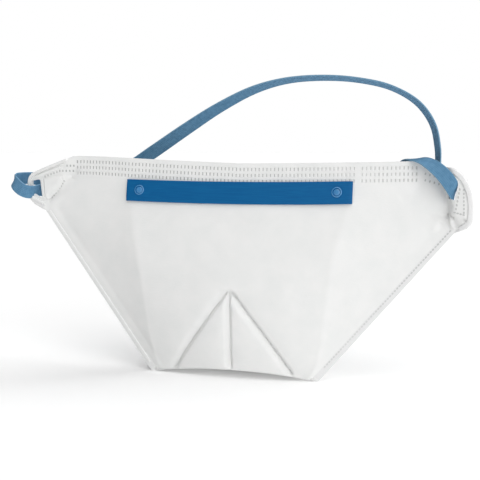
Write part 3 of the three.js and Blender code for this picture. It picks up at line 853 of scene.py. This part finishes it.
clip = {
    "halfLength": 49.4, "top": 82.6, "height": 9.2, "thickness": 0.9, "droop": 0.7, "gap": 0.24,
    "channel": 0.9, "channelHalf": 0.3, "channelDrop": 0.16,  # inside each long edge
    "steps": 60, "acrossSteps": 12,  # cells along and across
    "studInset": 6.3, "studRadius": 2.15, "studHeight": 0.6, "studSink": 0.25, "lean": 0.18,
    # a pale rim whose paler plastic is a painted highlight, a groove in the darker clip plastic and a
    # pale domed crown: material slot, width, lift
    "rings": [(1, 0.24, 0.2), (1, 0.2, 0), (0, 0.2, -0.4), (0, 0.14, 0), (1, 0.25, 0.2), (1, 0.5, 0.05)],
}


def onFront(x, z):
    rise = z / 90
    for _ in range(40):
        rise += (z - frontPoint(x, rise).z) / 90
    return frontPoint(x, rise)


def makeClip():
    half = clip["halfLength"]
    bpy.ops.object.select_all(action="DESELECT")
    bpy.ops.mesh.primitive_cube_add(size=1)
    strip = bpy.context.object
    strip.name = "noseStrip"
    choose(strip)
    bpy.ops.object.mode_set(mode="EDIT")
    bpy.ops.mesh.select_all(action="SELECT")
    # plain strip: X along, Z up, Y through it
    bpy.ops.transform.resize(value=(2 * half * mm, clip["thickness"] * mm, clip["height"] * mm))
    edits = bmesh.from_edit_mesh(strip.data)
    spans = [(e, e.verts[0].co - e.verts[1].co) for e in edits.edges]
    along = [e for e, span in spans if abs(span.x) > half * mm]
    bmesh.ops.subdivide_edges(edits, edges=along, cuts=clip["steps"] - 1, use_grid_fill=True)
    spans = [(e, e.verts[0].co - e.verts[1].co) for e in edits.edges]
    upright = [e for e, span in spans if abs(span.z) > clip["height"] * mm / 2]
    bmesh.ops.subdivide_edges(edits, edges=upright, cuts=clip["acrossSteps"] - 1, use_grid_fill=True)
    bmesh.update_edit_mesh(strip.data)
    bpy.ops.mesh.select_all(action="DESELECT")
    bpy.ops.object.mode_set(mode="OBJECT")
    for vertex in strip.data.vertices:
        x, z = vertex.co.x / mm, vertex.co.z / mm
        outer = vertex.co.y < 0
        top = clip["top"] - clip["droop"] * (1 - (x / half) ** 2)
        high, low = onFront(x, top), onFront(x, top - clip["height"])
        out = Vector((0, low.z - high.z, high.y - low.y)).normalized()
        share = 0.5 - z / clip["height"]
        lift = clip["gap"] + (clip["thickness"] if outer else 0)
        if outer:
            # shallow channel just inside each long edge
            edge = min(share, 1 - share) * clip["height"]
            lift -= clip["channelDrop"] * exp(-((edge - clip["channel"]) / clip["channelHalf"]) ** 2)
        vertex.co = (high.lerp(low, share) + out * lift + tableOrigin) * mm
    return strip


def makeStud(x):
    out = Vector((0, -1, clip["lean"])).normalized()
    seat = onFront(x, clip["top"] - clip["height"] / 2)
    seat += out * (clip["gap"] + clip["thickness"] - clip["studSink"] + clip["studHeight"] / 2)
    bpy.ops.object.select_all(action="DESELECT")
    bpy.ops.mesh.primitive_cylinder_add(vertices=40, radius=clip["studRadius"] * mm,
                                        depth=clip["studHeight"] * mm)
    stud = bpy.context.object
    choose(stud)
    stud.data.materials.append(clipPlastic)
    stud.data.materials.append(stakePlastic)
    bpy.ops.object.mode_set(mode="EDIT")
    edits = bmesh.from_edit_mesh(stud.data)
    for face in edits.faces:  # the top alone
        face.select = face.normal.z > 0.9
    edits.select_flush(False)
    bmesh.update_edit_mesh(stud.data)
    bpy.ops.mesh.select_mode(type="FACE")
    for slot, width, lift in clip["rings"]:
        stud.active_material_index = slot
        bpy.ops.object.material_slot_assign()
        bpy.ops.mesh.inset(thickness=width * mm, depth=lift * mm)
    bpy.ops.mesh.select_all(action="DESELECT")
    bpy.ops.object.mode_set(mode="OBJECT")
    turn = Vector((0, 0, 1)).rotation_difference(out).to_matrix().to_4x4()
    stud.data.transform(Matrix.Translation((seat + tableOrigin) * mm) @ turn)
    return stud


print("nose clip")
clipPlastic = makeClipPlastic()
strip = makeClip()
strip.data.materials.append(clipPlastic)
applyModifier(strip, "BEVEL", width=0.22 * mm, segments=3, limit_method="ANGLE", angle_limit=radians(50))
stakePlastic = makeStakePlastic()
studs = [makeStud(sign * (clip["halfLength"] - clip["studInset"])) for sign in (-1, 1)]
choose(*studs, strip)
bpy.ops.object.join()
bpy.ops.object.shade_smooth_by_angle(angle=radians(40))
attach(strip, "root")
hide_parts("nose_clip")


band = {
    "width": 6.0, "thickness": 0.7, "ribs": 8, "ribHeight": 0.045, "round": 0.35, "least": 0.04,
    "across": 33, "steps": 400, "fine": 40,  # points across, sections, and steps between two places
}
bandRoute = [
    # x, y, z, and the way its width points
    ((-97.9, 12, 76.9), (0.32, -0.1, 0.94)), ((-98.4, 9, 76.5), (0.34, -0.05, 0.94)),
    ((-99.9, 7.4, 76.4), (0.32, 0, 0.95)), ((-104, 7.2, 78), (0.48, 0, 0.88)),
    ((-108.3, 10, 81.6), (0.38, 0, 0.93)), ((-106, 13.4, 82.4), (0.12, -0.4, 0.9)),
    ((-99, 16, 82.1), (0, -0.15, 0.98)),
    ((-86, 18.4, 81.3), (-0.05, -0.1, 0.99)), ((-72, 21.8, 81.2), (-0.3, 0, 0.95)),
    ((-58, 24, 86.8), (-0.5, -0.3, 0.81)), ((-45, 24, 94.8), (-0.48, -0.42, 0.77)),
    ((-29.1, 22.5, 104.6), (-0.43, -0.59, 0.69)), ((-12.8, 21, 114), (-0.3, -0.78, 0.55)),
    ((3, 20, 121.2), (-0.15, -0.89, 0.42)), ((17, 19.5, 124.7), (-0.05, -0.94, 0.32)),
    ((33, 19, 125.6), (0, -0.95, 0.3)), ((48.5, 18.5, 124.3), (0.06, -0.95, 0.28)),
    ((62.5, 18, 120.8), (0.16, -0.94, 0.28)), ((73.5, 17.5, 114.2), (0.38, -0.9, 0.2)),
    ((79.6, 17, 105.6), (0.45, -0.88, 0.1)), ((81.8, 16.5, 96), (0.46, -0.88, 0)),
    ((82.4, 16.5, 87), (0.4, -0.9, 0.2)), ((85.6, 15.4, 79.6), (0.2, -0.6, 0.75)),
    ((88.9, 10.8, 77.2), (0.1, 0, 0.99)), ((89.3, 5.6, 79.7), (0.6, 0.2, 0.77)),
    ((86.4, 4.4, 84.3), (0.76, 0.2, 0.6)), ((81.7, 5.4, 88.7), (0.6, 0.5, 0.62)),
    ((76.2, 7.8, 91.4), (0.5, 0.8, 0.3)), ((70.6, 13.2, 90.8), (0.65, 0.7, -0.2)),
    ((65, 18.4, 85.4), (0.6, 0.5, -0.55)), ((57, 23.4, 78), (0.5, 0.25, -0.8)),
    ((42, 26.8, 72), (0.2, 0.5, -0.85)), ((22, 29, 67), (0.05, 0.85, -0.4)),
    ((0, 29.6, 65.4), (0, 0.95, 0.3)), ((-24, 28.2, 66), (0, 0.6, 0.8)),
    ((-48, 24.6, 69.4), (0, 0.15, 0.98)), ((-70, 18.4, 74), (0, 0, 1)),
    ((-87, 14.6, 77.2), (0, 0, 1)), ((-94.5, 15, 76.8), (0, -0.1, 0.99)),
    ((-97, 14.4, 77.1), (0.28, -0.15, 0.94)),
]


def throughFour(p0, p1, p2, p3, share, even):
    # smooth step from p1 to p2; even spacing for directions, by distance for places
    if even:
        start, end = (p2 - p0) / 2, (p3 - p1) / 2
    else:
        d0, d1, d2 = ((b - a).length ** 0.5 for a, b in ((p0, p1), (p1, p2), (p2, p3)))
        start = ((p1 - p0) / d0 - (p2 - p0) / (d0 + d1) + (p2 - p1) / d1) * d1
        end = ((p2 - p1) / d1 - (p3 - p1) / (d1 + d2) + (p3 - p2) / d2) * d1
    bent = (p2 - p1) * 3 - start * 2 - end
    return p1 + start * share + bent * share**2 + ((p1 - p2) * 2 + start + end) * share**3


def bandPath():
    places = [Vector(p) for p, _ in bandRoute]
    widths = [Vector(w) for _, w in bandRoute]
    count, fine = len(places), band["fine"]
    dense = []
    for i in range(count):
        four = [(i + k) % count for k in (-1, 0, 1, 2)]
        for j in range(fine):
            place = throughFour(*(places[k] for k in four), j / fine, False)
            wide = throughFour(*(widths[k] for k in four), j / fine, True)
            dense.append((place, wide))
    lengths = [0.0]
    for i in range(len(dense)):
        lengths.append(lengths[-1] + (dense[(i + 1) % len(dense)][0] - dense[i][0]).length)
    path, j = [], 0
    for i in range(band["steps"]):
        goal = lengths[-1] * i / band["steps"]
        while lengths[j + 1] < goal:
            j += 1
        share = (goal - lengths[j]) / (lengths[j + 1] - lengths[j])
        a, b = dense[j], dense[(j + 1) % len(dense)]
        path.append((a[0].lerp(b[0], share), a[1].lerp(b[1], share)))
    return path, lengths[-1]


def makeBand():
    path, length = bandPath()
    half, thick = band["width"] / 2, band["thickness"] / 2
    profile = []  # across, through, and the flat place on the band
    for side in (1, -1):
        for i in range(band["across"]):
            share = i / (band["across"] - 1)
            across = lerp(-half, half, share)
            rib = abs(sin(pi * share * band["ribs"])) * band["ribHeight"]
            edge = clamp((half - abs(across)) / band["round"])
            bow = (1 - (1 - edge) ** 2) ** 0.5
            through = side * max(band["least"], (thick - band["ribHeight"] + rib) * bow)
            profile.append((across * side, through, across * side + half))
    points = []
    for i, (place, wide) in enumerate(path):
        ahead, behind = path[(i + 1) % len(path)][0], path[i - 1][0]
        along = (ahead - behind).normalized()
        wide = (wide - along * wide.dot(along)).normalized()
        up = along.cross(wide)
        points += [place + wide * across + up * through for across, through, _ in profile]
    count = len(profile)
    faces, flat = [], []
    step = length / band["steps"]
    for i in range(band["steps"]):
        after = (i + 1) % band["steps"]
        for j in range(count):
            k = (j + 1) % count
            faces.append((i * count + j, i * count + k, after * count + k, after * count + j))
            flat += [(profile[j][2], i * step), (profile[k][2], i * step),
                     (profile[k][2], (i + 1) * step), (profile[j][2], (i + 1) * step)]
    obj = addMesh("headBand", points, faces)
    layer = obj.data.uv_layers.new(name="band")
    for loop, place in zip(layer.data, flat):
        loop.uv = place
    return obj, length


print("head strap")
strap, strapLength = makeBand()
shape = bmesh.new()
shape.from_mesh(strap.data)
if shape.calc_volume(signed=True) < 0:
    bmesh.ops.reverse_faces(shape, faces=shape.faces)
    shape.to_mesh(strap.data)
shape.free()
strap.data.materials.append(makeBraid())
choose(strap)
bpy.ops.object.shade_smooth_by_angle(angle=radians(60))
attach(strap, "root")
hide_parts("head_strap")
print("strap length", round(strapLength, 1), "mm")

sheetSurface = sum(p.area for p in pouch.data.polygons) / 2
print("pouch area", round(sheetSurface, 5), "m2", "triangles",
      sum(len(p.vertices) - 2 for p in pouch.data.polygons))


studio = {
    "floor": "#f7f7f7", "floorGlow": 0.13, "backdrop": 1.0, "ambient": 0.03,
    # turn and rise of each soft light in degrees, and its strength in W/m2
    "lights": [(40, 15, 1.45), (20, 65, 1.3), (130, 50, 1.85)], "softness": 50,
}
camera = {"at": (0.12795, -0.40618, 0.09546), "tilt": 90 - 5.224, "turn": 16.77, "lens": 74.1}

print("floor, light and camera")
bpy.ops.object.select_all(action="DESELECT")
bpy.ops.mesh.primitive_plane_add(size=60)
floorPlane = bpy.context.object
floorPlane.name = "studioFloor"
floorMaterial = newMaterial("mattPaper", {
    "Base Color": srgb(studio["floor"]), "Roughness": 0.95, "Specular IOR Level": 0.1,
    "Emission Color": srgb("#ffffff"), "Emission Strength": studio["floorGlow"]})[0]
floorPlane.data.materials.append(floorMaterial)

world = bpy.data.worlds.new("studio")
bpy.context.scene.world = world
world.use_nodes = True
skyTree = world.node_tree
sky = skyTree.nodes["Background"]
sky.inputs["Color"].default_value = srgb("#ffffff")
sky.inputs["Strength"].default_value = studio["ambient"]
seen = addNode(skyTree, "ShaderNodeBackground",
               values={"Color": srgb("#ffffff"), "Strength": studio["backdrop"]})
ray = addNode(skyTree, "ShaderNodeLightPath")
mixed = addNode(skyTree, "ShaderNodeMixShader", links={
    0: ray.outputs["Is Camera Ray"], 1: sky.outputs[0], 2: seen.outputs[0]})
skyTree.links.new(mixed.outputs[0], skyTree.nodes["World Output"].inputs["Surface"])

for i, (turn, rise, strength) in enumerate(studio["lights"]):
    lampData = bpy.data.lights.new("softLight" + str(i + 1), "SUN")
    lampData.energy = strength
    lampData.angle = radians(studio["softness"])
    lamp = bpy.data.objects.new("softLight" + str(i + 1), lampData)
    lamp.rotation_euler = (radians(90 - rise), 0, radians(turn))
    bpy.context.collection.objects.link(lamp)

lensData = bpy.data.cameras.new("frontCamera")
lensData.lens = camera["lens"]
lensData.sensor_width = 36
lensData.clip_start = 0.01
frontCamera = bpy.data.objects.new("frontCamera", lensData)
frontCamera.location = camera["at"]
frontCamera.rotation_euler = (radians(camera["tilt"]), 0, radians(camera["turn"]))
bpy.context.collection.objects.link(frontCamera)
bpy.context.scene.camera = frontCamera
bpy.context.scene.view_settings.view_transform = "Standard"
